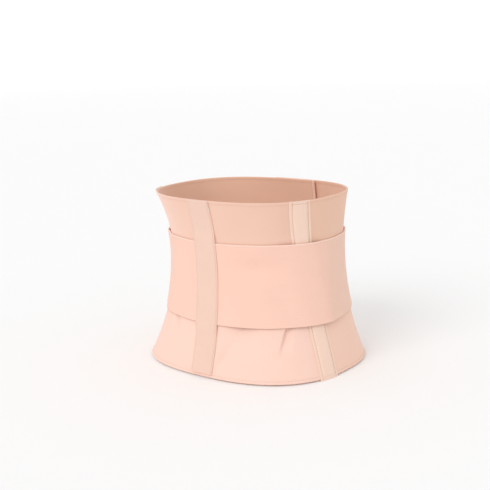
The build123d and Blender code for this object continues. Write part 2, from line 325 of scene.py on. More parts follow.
def dent(angle, height, place, spread):
    """1 at a place, falling off smoothly round it."""
    return bell((angle - place[0]) / spread[0]) * bell((height - place[1]) / spread[1])


def casing_relief(angle, height):
    """The stay turns the cloth: it dips behind the side casing and stands up in front of it."""
    rear = (casing_edge(True, height) - from_side(angle)) * MM_PER_DEGREE
    width = CASING_WIDTH * MM_PER_DEGREE
    behind = -CASING_DIP * smooth((rear + CASING_DIP_REACH) / CASING_DIP_REACH)
    under = -CASING_DIP + (CASING_DIP + CASING_STAND) * np.clip(rear / width, 0, 1)
    ahead = CASING_STAND * (1 - smooth((rear - width) / CASING_STAND_REACH))
    tilt = np.where(rear < 0, behind, np.where(rear < width, under, ahead))
    over_strap = above(height, STRAP_HIGH + 1, 14) * below(height, BELT_HEIGHT - 2, 14)
    under_strap = 0.4 * below(height, STRAP_LOW - 1, 14) * above(height, 4, 16)
    return tilt * (over_strap + under_strap)


def body_relief(angle, height):
    """What all the layers follow: a hollow beside the spine at the waist, and shallow waves."""
    hollow = -HOLLOW_DEPTH * dent(angle, height, HOLLOW, HOLLOW_SPREAD)
    ripple = np.sin(np.radians(angle * 9.0)) * 0.35 + np.sin(np.radians(angle * 14.3 + 50)) * 0.25
    from_front = np.abs(np.mod(angle, 360) - 270)
    fade = above(height, 8, 30) * below(height, BELT_HEIGHT - 8, 30)
    return hollow + ripple * fade * smooth((from_front - 55) / 20)


def wedge_relief(angle, height):
    """Beside the centre-back strip the cloth dips in a wedge that narrows downwards."""
    width = np.clip((height - WEDGE_FOOT) / WEDGE_TALL, 0.02, 1) * WEDGE_WIDE
    away = (angle - WEDGE_ANGLE) * MM_PER_DEGREE
    facet = WEDGE_CREST - WEDGE_FALL * np.clip(away / width, 0, 1)
    ahead = 1 - smooth((away - width) / 30)
    return facet * np.where(away > width, ahead, smooth(away / 2.0)) * above(height, WEDGE_FOOT, 20)


def belt_relief(angle, height):
    """The belt's own folds, and what the casings and the body do to it."""
    folds = groove(angle, height, *RIGHT_PLEAT, *RIGHT_PLEAT_SIDES, RIGHT_PLEAT_DEPTH)
    folds += PLEAT_RIDGE * bell((angle - PLEAT_RIDGE_ANGLE) / 2.6) * above(height, 30, 25)
    folds += groove(angle, height, *LEFT_PLEAT, *LEFT_PLEAT_SIDES, LEFT_PLEAT_DEPTH)
    folds += wedge_relief(angle, height)
    # what dips fades slowly behind the strap, and what stands out stops at its edge
    dip = np.minimum(folds, 0) * below(height, STRAP_LOW + 34, 34)
    rise = np.maximum(folds, 0) * below(height, STRAP_LOW + 2, 6)
    return dip + rise + casing_relief(angle, height) + body_relief(angle, height)


def strap_relief(angle, height):
    """The strap's pull over the side, and fine creases across the back."""
    middle = above(height, STRAP_LOW, 25) * below(height, STRAP_HIGH, 25)
    roof = np.hypot(angle - STRAP_RIDGE_ANGLE, 1.5) - 1.5
    ridge = STRAP_RIDGE * np.clip(1 - roof / 22, 0, 1) * below(height, STRAP_HIGH + 4, 40)
    creases = 0.18 * np.sin(height / 3.1 + 0.6 * np.sin(np.radians(angle * 5)))
    creases *= dent(angle, height, CREASES, CREASES_SPREAD)
    return body_relief(angle, height) + ridge + creases * middle


# Meshes

ROUND_STEPS = np.array([0, 0.06, 0.25, 0.55])
CORNER_ROLL = 0.8


def steps(length, spacing, radius):
    """Fractions across a length, evenly spaced, with more where the edges are rounded."""
    share = radius / length
    near = share * ROUND_STEPS
    count = max(2, int(round((length - 2 * radius) / spacing)) + 1)
    return np.concatenate([near, np.linspace(share, 1 - share, count), 1 - near[::-1]])


def make_object(name, points, quads, uvs, material):
    """A mesh object from arrays, with a UV map in steps of 100 mm for the weave."""
    mesh = bpy.data.meshes.new(name)
    mesh.vertices.add(len(points))
    mesh.vertices.foreach_set("co", points.astype(np.float32).ravel())
    mesh.loops.add(quads.size)
    mesh.loops.foreach_set("vertex_index", quads.astype(np.int32).ravel())
    mesh.polygons.add(len(quads))
    sides = quads.shape[1]
    mesh.polygons.foreach_set("loop_start", np.arange(0, quads.size, sides, dtype=np.int32))
    mesh.update(calc_edges=True)
    mesh.validate()
    layer = mesh.uv_layers.new(name="weave")
    layer.data.foreach_set("uv", uvs[quads.ravel()].astype(np.float32).ravel())
    mesh.polygons.foreach_set("use_smooth", np.ones(len(quads), bool))
    mesh.materials.append(material)
    item = bpy.data.objects.new(name, mesh)
    bpy.context.scene.collection.objects.link(item)
    return item


def weave_uv(angle, height):
    return np.stack([angle * MM_PER_DEGREE, height], axis=-1) / UV_STEP


def grid_quads(index):
    """Quads of a grid of vertex indices, facing out when the first axis is the angle."""
    a, b = index[:-1, :-1], index[1:, :-1]
    c, d = index[1:, 1:], index[:-1, 1:]
    return np.stack([a, b, c, d], axis=-1).reshape(-1, 4)


def edge_roll(across, up, width, tall, radius):
    """0 on the flat of a sheet, rising along a quarter circle to 1 at its border."""
    edge_u = np.minimum(across, 1 - across)[:, None] * width / radius
    edge_v = np.minimum(up, 1 - up)[None, :] * tall / radius
    roll = np.hypot(np.clip(1 - edge_u, 0, 1), np.clip(1 - edge_v, 0, 1))
    return 1 - np.sqrt(1 - np.clip(roll, 0, 1) ** 2)


def shell(name, start, end, low, high, outer, inner, material, spacing=(1.6, 1.5), radius=0.8):
    """A closed sheet of cloth on the ring, with rounded edges.

    start and end give its ring angles at a height, outer and inner its faces as distances out.
    """
    middle = np.array([(low + high) / 2])
    width = abs(float((end(middle) - start(middle))[0])) * MM_PER_DEGREE
    across = steps(width, spacing[0], radius)
    up = steps(high - low, spacing[1], radius)
    height = low + (high - low) * up[None, :] + 0 * across[:, None]
    angle = start(height) + (end(height) - start(height)) * across[:, None]
    border = np.zeros(angle.shape, bool)
    border[0, :] = border[-1, :] = border[:, 0] = border[:, -1] = True
    # the two faces meet only along the border, so the corners keep a little thickness
    roll = edge_roll(across, up, width, high - low, radius)
    roll = np.where(border, 1.0, np.minimum(roll, CORNER_ROLL))
    out_face, in_face = outer(angle, height), inner(angle, height)
    half = (out_face - in_face) / 2
    out_points = on_ring(angle, height, out_face - half * roll)
    in_points = on_ring(angle, height, in_face + half * roll)
    out_index = np.arange(angle.size).reshape(angle.shape)
    in_index = np.where(border, out_index, out_index + angle.size)
    quads = np.concatenate([grid_quads(out_index), grid_quads(in_index)[:, ::-1]])
    points = np.concatenate([out_points.reshape(-1, 3), in_points.reshape(-1, 3)])
    uvs = np.tile(weave_uv(angle, height).reshape(-1, 2), (2, 1))
    used, quads = np.unique(quads, return_inverse=True)
    return make_object(name, points[used], quads.reshape(-1, 4), uvs[used], material)


def stitch_shape(sides=6, rings=5):
    """A stitch as a unit spindle along x: points and quads."""
    points, quads = [], []
    for i in range(rings):
        turn = math.pi * (i + 0.5) / rings
        size = max(math.sin(turn), 0.0) ** 0.6
        for k in range(sides):
            round_it = 2 * math.pi * k / sides
            points.append((-math.cos(turn), size * math.cos(round_it), size * math.sin(round_it)))
    for i in range(rings - 1):
        for k in range(sides):
            n = (k + 1) % sides
            quads.append((i * sides + k, i * sides + n, (i + 1) * sides + n, (i + 1) * sides + k))
    first, last = len(points), len(points) + 1
    points += [(-1.0, 0.0, 0.0), (1.0, 0.0, 0.0)]
    caps = []
    for k in range(0, sides, 2):
        a, b, c = k, (k + 1) % sides, (k + 2) % sides
        caps.append((first, c, b, a))
        base = (rings - 1) * sides
        caps.append((last, base + a, base + b, base + c))
    return np.array(points), np.array(quads + caps)


STITCH_POINTS, STITCH_QUADS = stitch_shape()


def stitch_row(line, run, pitch, length, thickness):
    """The points of each stitch of a row, and each stitch's place on the weave."""
    number = max(2, int(run / pitch))
    middle = (np.arange(number) + 0.5) / number
    half = length / run / 2
    along = (on_ring(*line(middle + half)) - on_ring(*line(middle - half))) / 2
    angle, height, out = line(middle)
    centre = on_ring(angle, height, out)
    face = on_ring(angle, height, out + 1.0) - centre
    face /= np.linalg.norm(face, axis=1)[:, None]
    side = np.cross(face, along)
    side *= thickness * MM / 2 / np.linalg.norm(side, axis=1)[:, None]
    face *= thickness * MM / 2
    axes = np.stack([along, side, face], axis=1)
    return centre[:, None, :] + STITCH_POINTS @ axes, weave_uv(angle, height)


def stitches(name, lines, material, pitch=3.3, length=2.3, thickness=0.7):
    """Rows of stitches. Each line is a function of 0..1 giving (angle, height, out), and a length."""
    rows = [stitch_row(line, run, pitch, length, thickness) for line, run in lines]
    points = np.concatenate([row for row, _ in rows])
    uvs = np.repeat(np.concatenate([uv for _, uv in rows]), len(STITCH_POINTS), axis=0)
    offsets = np.arange(len(points)) * len(STITCH_POINTS)
    quads = STITCH_QUADS[None] + offsets[:, None, None]
    return make_object(name, points.reshape(-1, 3), quads.reshape(-1, 4), uvs, material)


# Materials


class Nodes:
    """A small helper that adds nodes to a material's tree."""

    def __init__(self, name):
        self.material = bpy.data.materials.new(name)
        self.material.use_nodes = True
        self.tree = self.material.node_tree
        self.shader = self.tree.nodes["Principled BSDF"]

    def add(self, kind, **values):
        node = self.tree.nodes.new(kind)
        for key, value in values.items():
            setattr(node, key, value)
        return node

    def link(self, source, target):
        self.tree.links.new(source, target)

    def math(self, operation, a, b=None, c=None):
        node = self.add("ShaderNodeMath", operation=operation)
        for socket, value in zip(node.inputs, (a, b, c)):
            if value is None:
                continue
            if isinstance(value, (int, float)):
                socket.default_value = value
            else:
                self.link(value, socket)
        return node.outputs[0]

    def clamped(self, value):
        return self.math("MINIMUM", self.math("MAXIMUM", value, 0.0), 1.0)

    def noise(self, vector, scale, detail=3.0, roughness=0.6):
        node = self.add("ShaderNodeTexNoise")
        node.inputs["Scale"].default_value = scale
        node.inputs["Detail"].default_value = detail
        node.inputs["Roughness"].default_value = roughness
        self.link(vector, node.inputs["Vector"])
        return node.outputs[0]

    def stretched(self, vector, scale):
        node = self.add("ShaderNodeMapping")
        node.inputs["Scale"].default_value = scale
        self.link(vector, node.inputs["Vector"])
        return node.outputs[0]

    def mix(self, factor, a, b, blend="MIX"):
        node = self.add("ShaderNodeMix", data_type="RGBA", blend_type=blend)
        for socket, value in zip((node.inputs[0], node.inputs[6], node.inputs[7]), (factor, a, b)):
            if isinstance(value, (tuple, list)):
                socket.default_value = (*value, 1.0)
            elif isinstance(value, (int, float)):
                socket.default_value = value
            else:
                self.link(value, socket)
        return node.outputs[2]

    def bump(self, height, strength, distance, invert=False):
        """Fine relief in the shading, from a height and a distance in metres."""
        node = self.add("ShaderNodeBump", invert=invert)
        node.inputs["Strength"].default_value = strength
        node.inputs["Distance"].default_value = distance
        self.link(height, node.inputs["Height"])
        self.link(node.outputs[0], self.shader.inputs["Normal"])


def linear(red, green, blue):
    """sRGB 0..255 to linear."""
    values = [c / 255 for c in (red, green, blue)]
    return tuple(v / 12.92 if v <= 0.04045 else ((v + 0.055) / 1.055) ** 2.4 for v in values)


def shade(colour, amount):
    return tuple(c * amount for c in colour)


def painted_upper_shade(n, u, v, base, low, high, tint, lit_angle, spread):
    """Painted shade that comes in with height, darker towards the top, and fades away round one ring
    angle, where the light falls.
    """
    up = n.math("DIVIDE", n.math("SUBTRACT", v, low / UV_STEP), (high - low) / UV_STEP)
    away = n.math("MULTIPLY_ADD", u, UV_STEP / MM_PER_DEGREE / spread, -lit_angle / spread)
    fade = n.math("DIVIDE", 1.0, n.math("MULTIPLY_ADD", away, away, 1.0))
    return n.mix(n.math("MULTIPLY", n.clamped(up), n.math("SUBTRACT", 1.0, fade)), base, tint)


def side_tone_and_painted_shade(n, u, v, base, limit, slope, blur, tint):
    """A slightly deeper shade further round from the middle of the back than a limit in degrees: on
    the belt the side panels' own shade, on the strap painted shade where it turns round the flank.

    The limit moves nearer by slope degrees for each millimetre of height.
    """
    turn = n.math("ABSOLUTE", n.math("MULTIPLY_ADD", u, UV_STEP / MM_PER_DEGREE, -90.0))
    past = n.math("MULTIPLY_ADD", v, UV_STEP * slope, n.math("SUBTRACT", turn, limit))
    return n.mix(n.clamped(n.math("DIVIDE", past, blur)), base, tint, "MULTIPLY")


def painted_edge_band(n, v, base, low, high, tint):
    """A band of another colour between two heights: painted shadow along the strap's lower edge,
    painted highlight along its upper edge.
    """
    over = n.math("GREATER_THAN", v, low / UV_STEP)
    under = n.math("LESS_THAN", v, high / UV_STEP)
    return n.mix(n.math("MULTIPLY", over, under), base, tint)


def cloth(name, colour, wale, course, relief, fleck=0.8, painted_edge_bands=(), upper_shade=None, side=None):
    """Woven or knitted elastic: wales across, courses up, in millimetres, from the weave UV map."""
    n = Nodes(name)
    uv = n.add("ShaderNodeUVMap", uv_map="weave").outputs[0]
    split = n.add("ShaderNodeSeparateXYZ")
    n.link(uv, split.inputs[0])
    u, v = split.outputs[0], split.outputs[1]
    rib = n.math("SINE", n.math("MULTIPLY", u, 2 * math.pi * UV_STEP / wale))
    row = n.math("SINE", n.math("MULTIPLY", v, 2 * math.pi * UV_STEP / course))
    cross = n.math("MULTIPLY", rib, row)
    yarn = n.math("MULTIPLY_ADD", cross, 0.25, n.math("MULTIPLY_ADD", row, 0.2, 0.5))
    fuzz = n.noise(uv, 260.0, 4.0, 0.7)
    cloud = n.noise(uv, 4.0, 3.0, 0.55)
    streak = n.noise(n.stretched(uv, (1.5, 46.0, 1.0)), 1.0, 4.0, 0.6)
    tone = n.math("MULTIPLY_ADD", cloud, 0.5, n.math("MULTIPLY", streak, 0.5))
    base = n.mix(tone, shade(colour, 0.95), shade(colour, 1.04))
    # painted shade on the belt's upper part
    if upper_shade:
        base = painted_upper_shade(n, u, v, base, *upper_shade)
    # the belt's side panels' own deeper shade, and painted shade on the strap's flank
    if side:
        base = side_tone_and_painted_shade(n, u, v, base, *side)
    # the gaps between the yarns are deeper and painted in shade, and loose fibres catch a little
    # light
    painted_pit_shade = (colour[0] * 0.86, colour[1] * 0.80, colour[2] * 0.76)
    pit_shade_amount = n.math("MULTIPLY", n.math("SUBTRACT", 1.0, yarn), 0.16 * fleck)
    base = n.mix(pit_shade_amount, base, painted_pit_shade)
    spots = n.math("MULTIPLY", n.math("SUBTRACT", fuzz, 0.5), 0.35 * fleck)
    base = n.mix(n.math("MAXIMUM", spots, 0.0), base, shade(colour, 1.08))
    # painted shadow and painted highlight along the strap's edges
    for band in painted_edge_bands:
        base = painted_edge_band(n, v, base, *band)
    n.link(base, n.shader.inputs["Base Color"])
    n.link(n.math("MULTIPLY_ADD", fuzz, 0.16, 0.76), n.shader.inputs["Roughness"])
    n.shader.inputs["Specular IOR Level"].default_value = 0.25
    n.shader.inputs["Sheen Weight"].default_value = 0.25
    n.shader.inputs["Sheen Roughness"].default_value = 0.35
    texture = n.math("MULTIPLY_ADD", yarn, 0.7, n.math("MULTIPLY", fuzz, 0.5))
    n.bump(n.math("MULTIPLY_ADD", streak, 0.6, texture), relief, 0.0004)
    return n.material


def pile(name, colour, scale, relief, roughness):
    """Hook or loop tape: a dense field of small bumps, with painted shade between them."""
    n = Nodes(name)
    uv = n.add("ShaderNodeUVMap", uv_map="weave").outputs[0]
    cells = n.add("ShaderNodeTexVoronoi")
    cells.inputs["Scale"].default_value = scale
    n.link(uv, cells.inputs["Vector"])
    cloud = n.noise(uv, 9.0)
    # painted shade between the bumps and painted light on their tops
    base = n.mix(cells.outputs["Distance"], shade(colour, 1.05), shade(colour, 0.86))
    base = n.mix(n.math("MULTIPLY", cloud, 0.3), base, shade(colour, 0.92))
    n.link(base, n.shader.inputs["Base Color"])
    n.link(n.math("MULTIPLY_ADD", cloud, 0.15, roughness), n.shader.inputs["Roughness"])
    n.bump(cells.outputs["Distance"], relief, 0.0008, invert=True)
    return n.material


def thread(name, colour):
    """Sewing thread, twisted and slightly uneven in colour."""
    n = Nodes(name)
    place = n.add("ShaderNodeTexCoord").outputs["Object"]
    twist = n.noise(place, 1400.0, 2.0, 0.5)
    patch = n.noise(place, 60.0, 2.0, 0.5)
    base = n.mix(twist, shade(colour, 0.85), shade(colour, 1.1))
    base = n.mix(n.math("MULTIPLY", patch, 0.3), base, shade(colour, 0.8))
    n.link(base, n.shader.inputs["Base Color"])
    n.link(n.math("MULTIPLY_ADD", twist, 0.2, 0.5), n.shader.inputs["Roughness"])
    n.bump(twist, 0.4, 0.0001)
    return n.material


def hard(name, colour, metallic, roughness, grain):
    """Steel or moulded plastic with a brushed or mottled finish."""
    n = Nodes(name)
    place = n.add("ShaderNodeTexCoord").outputs["Object"]
    lines = n.noise(n.stretched(place, grain), 1.0, 5.0, 0.7)
    base = n.mix(lines, shade(colour, 0.88), shade(colour, 1.08))
    n.link(base, n.shader.inputs["Base Color"])
    n.link(n.math("MULTIPLY_ADD", lines, 0.2, roughness), n.shader.inputs["Roughness"])
    n.shader.inputs["Metallic"].default_value = metallic
    n.bump(lines, 0.2, 0.0001)
    return n.material


BELT_COLOUR = linear(248, 211, 196)
# painted shade: the belt's upper part is painted darker, where shade falls
BELT_PAINTED_SHADE_COLOUR = linear(237, 198, 178)
STRAP_COLOUR = linear(247, 205, 187)
# painted shadow along the strap's lower edge, and painted highlight along its upper edge
STRAP_PAINTED_SHADOW_COLOUR = linear(206, 164, 142)
STRAP_PAINTED_HIGHLIGHT_COLOUR = linear(249, 217, 202)

# bands of painted shadow and painted highlight along the strap's edges
STRAP_PAINTED_EDGES = (
    (STRAP_LOW - 1, STRAP_LOW + 0.7, STRAP_PAINTED_SHADOW_COLOUR),
    (STRAP_HIGH - 1.4, STRAP_HIGH + 1, STRAP_PAINTED_HIGHLIGHT_COLOUR),
)
# limit, slope, blur and tint of side_tone_and_painted_shade
BELT_SIDE = (73.7, 0.053, 0.2, (0.995, 0.975, 0.925))
# painted shade on the strap where it turns round the flank, away from the light
STRAP_FLANK_PAINTED_SHADE = (81.5, 0.0, 3.5, (0.95, 0.985, 0.975))
# painted shade on the belt's upper part: low, high, tint, lit_angle and spread of painted_upper_shade
BELT_PAINTED_UPPER_SHADE = (55.0, 190.0, BELT_PAINTED_SHADE_COLOUR, 50.0, 14.0)

# the belt and its top hem carry painted shade on their upper part
belt_cloth = cloth("belt_elastic", BELT_COLOUR, 1.5, 1.1, 0.35, upper_shade=BELT_PAINTED_UPPER_SHADE, side=BELT_SIDE)
# the strap carries painted shadow and highlight along its edges, and painted shade on its flank
strap_cloth = cloth("strap_elastic", STRAP_COLOUR, 1.2, 1.9, 0.5, painted_edge_bands=STRAP_PAINTED_EDGES, side=STRAP_FLANK_PAINTED_SHADE)
strip_cloth = cloth("strip_fabric", linear(237, 203, 187), 1.0, 0.9, 0.35, fleck=0.9)
casing_cloth = cloth("casing_fabric", linear(246, 215, 197), 1.0, 0.9, 0.35, fleck=0.9)
tape_cloth = cloth("hem_tape", linear(243, 206, 188), 1.3, 0.8, 0.4)
low_hem_cloth = cloth("low_hem", BELT_COLOUR, 1.5, 1.1, 0.35, side=BELT_SIDE)
high_hem_cloth = cloth("high_hem", BELT_COLOUR, 1.5, 1.1, 0.35, upper_shade=BELT_PAINTED_UPPER_SHADE, side=BELT_SIDE)
loop_pile = pile("loop_tape", linear(240, 203, 186), 130.0, 0.5, 0.8)
hook_pile = pile("hook_tape", linear(236, 201, 184), 80.0, 0.7, 0.45)
sewing_thread = thread("sewing_thread", linear(204, 162, 140))
pale_thread = thread("pale_thread", linear(226, 184, 164))
steel = hard("spring_steel", linear(188, 190, 194), 1.0, 0.3, (900.0, 900.0, 12.0))
dip_plastic = hard("dipped_plastic", linear(236, 236, 232), 0.0, 0.4, (300.0, 300.0, 300.0))


# Assembly helpers


def side_name(right):
    return "right" if right else "left"


def across_side(item):
    """The piece's transform is baked into its mesh."""
    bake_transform(item)
    return item


def across_peel(item, right):
    """Works out where the strap end folds back, and bakes the piece's transform into its mesh."""
    split = 180 + STRAP_SPLIT if right else 360 - STRAP_SPLIT
    step = PEEL_BEND if right else -PEEL_BEND
    height = np.array([118.0])
    start = on_ring(np.array([split - step]), height, 2.0)[0]
    end = on_ring(np.array([split + step]), height, 2.0)[0]
    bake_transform(item)
    return item


def riding(item, slot, body, *nodes):
    """The piece rides a body, in place of the CAD nodes named, which are hidden; the slot is not
    used.
    """
    if nodes:
        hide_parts(*nodes)
    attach(item, body)
    return item


def upright_row(edge, low, high, out, run):
    """Stitches up an edge between two heights, for stitches()."""

    def place(share):
        height = low + (high - low) * share
        angle = edge(height)
        return angle, height, out(angle, height)

    return place, run


def level_row(first, last, height, out, run):
    """Stitches between two ring angles at one height, for stitches()."""

    def place(share):
        angle = first + (last - first) * share
        level = height + 0 * share
        return angle, level, out(angle, level)

    return place, run


def span_at(span, height, inset=0.0):
    """The ring angles of a span's ends at one height, drawn in by a share of its width."""
    level = np.array([height])
    first, last = span[0](level)[0], span[1](level)[0]
    return first + (last - first) * inset, last - (last - first) * inset


# Belt, hems and front bindings


def half_span(right, overlap):
    """A half of the belt, from just past the middle of the back to its front end."""
    if right:
        return at_back(-overlap), at_front(FRONT_EDGE)
    return lambda height: at_front(-FRONT_EDGE)(height) - 360, at_back(overlap)


def belt_half(right):
    """Half of the belt's elastic: one sheet from the middle of the back to the front."""
    base = lift(right)
    outer = lambda angle, height: base(angle) + belt_relief(angle, height)
    inner = lambda angle, height: outer(angle, height) - CLOTH
    side = side_name(right)
    low, high = BELT_INSET, BELT_HEIGHT - BELT_INSET
    item = shell(f"belt_{side}", *half_span(right, 0.3), low, high, outer, inner, belt_cloth)
    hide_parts(f"back_panel_{side}", f"front_panel_{side}")
    return across_side(item)


def hem(right, top):
    """A turned hem, dipped along its seam."""
    base = lift(right)
    low = BELT_HEIGHT - HEM_HEIGHT if top else 0.0
    seam = BELT_HEIGHT - HEM_SEAM if top else HEM_SEAM
    dip = lambda height: 0.16 * bell((height - seam) / 0.5)
    outer = lambda angle, height: base(angle) + HEM_OUT - dip(height)
    inner = lambda angle, height: base(angle) - HEM_IN + dip(height)
    side = side_name(right)
    edge = "top" if top else "bottom"
    material = high_hem_cloth if top else low_hem_cloth
    item = shell(
        f"hem_{edge}_{side}", *half_span(right, 0.1), low, low + HEM_HEIGHT, outer, inner, material,
        spacing=(1.8, 0.45), radius=0.9,
    )
    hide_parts(f"front_{edge}_hem_{side}")
    if right:
        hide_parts(f"back_{edge}_hem")
    return across_side(item)


def hem_stitches(right, top):
    """A row outside and one inside, from beside the centre-back strip to the front binding."""
    base = lift(right)
    seam = BELT_HEIGHT - HEM_SEAM if top else HEM_SEAM
    first, last = (91.0, 284.0) if right else (-104.0, 89.0)
    run = (last - first) * MM_PER_DEGREE
    lines = [
        level_row(first, last, seam, lambda angle, height: base(angle) + HEM_OUT - STITCH_SINK, run),
        level_row(first, last, seam, lambda angle, height: base(angle) - HEM_IN + STITCH_SINK, run),
    ]
    name = f"hem_stitches_{'top' if top else 'bottom'}_{side_name(right)}"
    item = stitches(name, lines, pale_thread, thickness=0.45)
    return across_side(item)


def front_binding(right):
    """The folded tape over a front's end, and its stitches."""
    base = lift(right)
    outer = lambda angle, height: base(angle) + BINDING_OUT
    inner = lambda angle, height: base(angle) - BINDING_IN
    if right:
        span = at_front(PANEL_END_X), at_front(FRONT_END_X)
    else:
        span = at_front(-FRONT_END_X), at_front(-PANEL_END_X)
    side = side_name(right)
    tape = shell(
        f"binding_{side}", *span, -0.2, BELT_HEIGHT + 0.2, outer, inner, tape_cloth,
        spacing=(0.6, 2.0), radius=1.2,
    )
    riding(tape, "binding_tape", f"{side}_front", f"front_binding_{side}")
    seam_x = FRONT_END_X - BINDING_WIDTH
    seam = at_front(seam_x if right else -seam_x)
    lines = [upright_row(seam, 0.0, BELT_HEIGHT, face, BELT_HEIGHT) for face in (outer, inner)]
    rows = stitches(f"binding_stitches_{side}", lines, sewing_thread)
    riding(rows, "binding_tape", f"{side}_front")
    return [tape, rows]


# Side casings


def casing_span(right):
    """A side casing's two edges, in the order of their ring angles."""
    rear = lambda height: casing_edge(True, height)
    front = lambda height: casing_edge(False, height)
    if right:
        return lambda height: 180 - rear(height), lambda height: 180 - front(height)
    return front, rear


def side_casing(right):
    """Fabric tube for the stay: flat sewn margins and a raised channel between them."""
    span = casing_span(right)
    start, end = span
    low, high = CASING_LOW, CASING_HIGH
    relief = lambda angle, height: casing_relief(angle, height) + body_relief(angle, height)

    def outer(angle, height):
        middle = (casing_edge(True, height) + casing_edge(False, height)) / 2
        across = np.abs(from_side(angle) - middle) * MM_PER_DEGREE
        ends = above(height, low + 3.5, 3) * below(height, high - 3.5, 3)
        channel = smooth((10.4 - across) / 3.0) * ends
        puckers = 0.10 * np.sin(height * 2 * math.pi / 6.6) * smooth((across - 7) / 3)
        sewn = 0.2 * bell((across - 9.9) / 0.7)
        return 1.1 + 1.1 * channel + puckers - sewn + relief(angle, height)

    def inner(angle, height):
        return 0.1 + relief(angle, height)

    def seam(share):
        edge = lambda height: start(height) + (end(height) - start(height)) * share
        return upright_row(edge, low + 1, high - 1, lambda a, h: outer(a, h) + 0.2, high - low)

    side = side_name(right)
    tube = shell(
        f"casing_{side}", *span, low, high, outer, inner, casing_cloth, spacing=(0.7, 1.1), radius=0.5
    )
    riding(tube, "casing_fabric", "back", f"side_casing_{side}")
    bar_height = high - 4.2
    first, last = span_at(span, bar_height, 0.08)
    bar = level_row(first, last, bar_height, lambda a, h: outer(a, h) + 0.15, 24.0)
    lines = [seam(0.13), seam(0.87), bar]
    rows = stitches(f"casing_stitches_{side}", lines, sewing_thread, thickness=0.5)
    riding(rows, "casing_fabric", "back")
    return tube, rows


# Strap


def selvage(height):
    """How much thicker the strap is near its two edges."""
    low = bell((height - STRAP_LOW - SELVAGE_PLACE) / SELVAGE_PLACE)
    high = bell((height - STRAP_HIGH + SELVAGE_PLACE) / SELVAGE_PLACE)
    return SELVAGE_RISE * (low + high)


def strap_half(right):
    """The strap from the centre back, over the side casing and past the side."""
    base = lift(right)

    def inner(angle, height):
        under = STRAP_GAP + STRAP_OVER_CASING * near_casing(angle, height)
        return base(angle) + under + strap_relief(angle, height)

    outer = lambda angle, height: inner(angle, height) + CLOTH + selvage(height)
    if right:
        span = at_back(-0.5), fixed(180 + STRAP_SEAM)
    else:
        span = fixed(-STRAP_SEAM), at_back(0.5)
    side = side_name(right)
    item = shell(
        f"strap_{side}", *span, STRAP_LOW, STRAP_HIGH, outer, inner, strap_cloth,
        spacing=(1.5, 1.0), radius=0.7,
    )
    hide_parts(f"strap_back_{side}", f"strap_side_{side}")
    return across_side(item)


def strap_end_faces(right):
    """The outer and inner faces of a free end, which rises over its hook tape."""
    base = lift(right)

    def inner(angle, height):
        over_hooks = HOOK_LIFT * smooth((90 - STRAP_SPLIT - np.abs(angle - 270) - 1.5) / 10)
        return STRAP_GAP + base(angle) + over_hooks

    return lambda angle, height: inner(angle, height) + CLOTH + selvage(height), inner


def strap_end_spans(right):
    """The spans of a free end, of the binding across its tip and of the hook tape inside it."""
    x = TIP_X[side_name(right)]
    tip, far = at_front(x), at_front(HOOK_FAR_X[side_name(right)])
    if right:
        bound = at_front(x - TIP_BINDING)
        return (fixed(180 + STRAP_SEAM), at_front(x - 2)), (bound, tip), (far, bound)
    bound = at_front(x + TIP_BINDING)
    return (at_front(x + 2), fixed(360 - STRAP_SEAM)), (tip, bound), (bound, far)


def strap_end_stitches(right, face, hook):
    """Rows along the binding and round the hook tape."""
    inward = -1.0 if right else 1.0
    binding_edge = at_front(TIP_X[side_name(right)] + 5.0 * inward)
    far = hook[0] if right else hook[1]
    far_edge = lambda height: far(height) - inward
    on_binding = lambda angle, height: face(angle, height) + TIP_BINDING_OUT
    on_strap = lambda angle, height: face(angle, height) + 0.02
    lines = [
        upright_row(binding_edge, STRAP_LOW + 1, STRAP_HIGH - 1, on_binding, 104.0),
        upright_row(far_edge, STRAP_LOW + 5, STRAP_HIGH - 5, on_strap, 96.0),
    ]
    for height in (STRAP_LOW + 6, STRAP_HIGH - 6):
        lines.append(level_row(*span_at(hook, height), height, on_strap, 62.0 if right else 40.0))
    return stitches(f"strap_tab_stitches_{side_name(right)}", lines, pale_thread)


def strap_end(right):
    """A free end of the strap, and its binding, hook tape and stitches."""
    side = side_name(right)
    body = f"{side}_strap_end"
    outer, inner = strap_end_faces(right)
    span, band, hook = strap_end_spans(right)
    item = shell(
        f"strap_tab_{side}", *span, STRAP_LOW, STRAP_HIGH, outer, inner, strap_cloth,
        spacing=(1.5, 1.0), radius=0.7,
    )
    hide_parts(f"strap_end_{side}")
    across_peel(item, right)
    tape = shell(
        f"strap_tab_binding_{side}", *band, STRAP_LOW - 0.2, STRAP_HIGH + 0.2,
        lambda angle, height: outer(angle, height) + TIP_BINDING_OUT,
        lambda angle, height: inner(angle, height) - 0.2,
        tape_cloth, spacing=(0.6, 1.5), radius=1.0,
    )
    riding(tape, "strap_elastic", body, f"strap_end_binding_{side}")
    hooks = shell(
        f"hook_patch_{side}", *hook, STRAP_LOW + TAPE_INSET, STRAP_HIGH - TAPE_INSET,
        lambda angle, height: inner(angle, height) - TAPE_GAP,
        lambda angle, height: inner(angle, height) - TAPE_GAP - HOOK_THICKNESS,
        hook_pile, spacing=(1.6, 1.6), radius=0.4,
    )
    riding(hooks, "hook_tape", body, f"strap_hook_{side}")
    rows = riding(strap_end_stitches(right, outer, hook), "strap_elastic", body)
    return item, [tape, hooks, rows]


# Centre-back strip


def strip_under(height):
    """The strip's inner face: over the strap, then stepping down on to the belt."""
    beyond = np.maximum(STRAP_LOW - 1.5 - height, height - STRAP_HIGH - 1.5)
    return 0.3 + 2.05 * (1 - smooth(beyond / 16.0))


def from_strip_middle(angle, height):
    """Millimetres sideways from the strip's middle."""
    x = np.cos(np.radians(angle)) * half_width(height) * swell(angle, height)
    return np.abs(x - strip_middle(height))


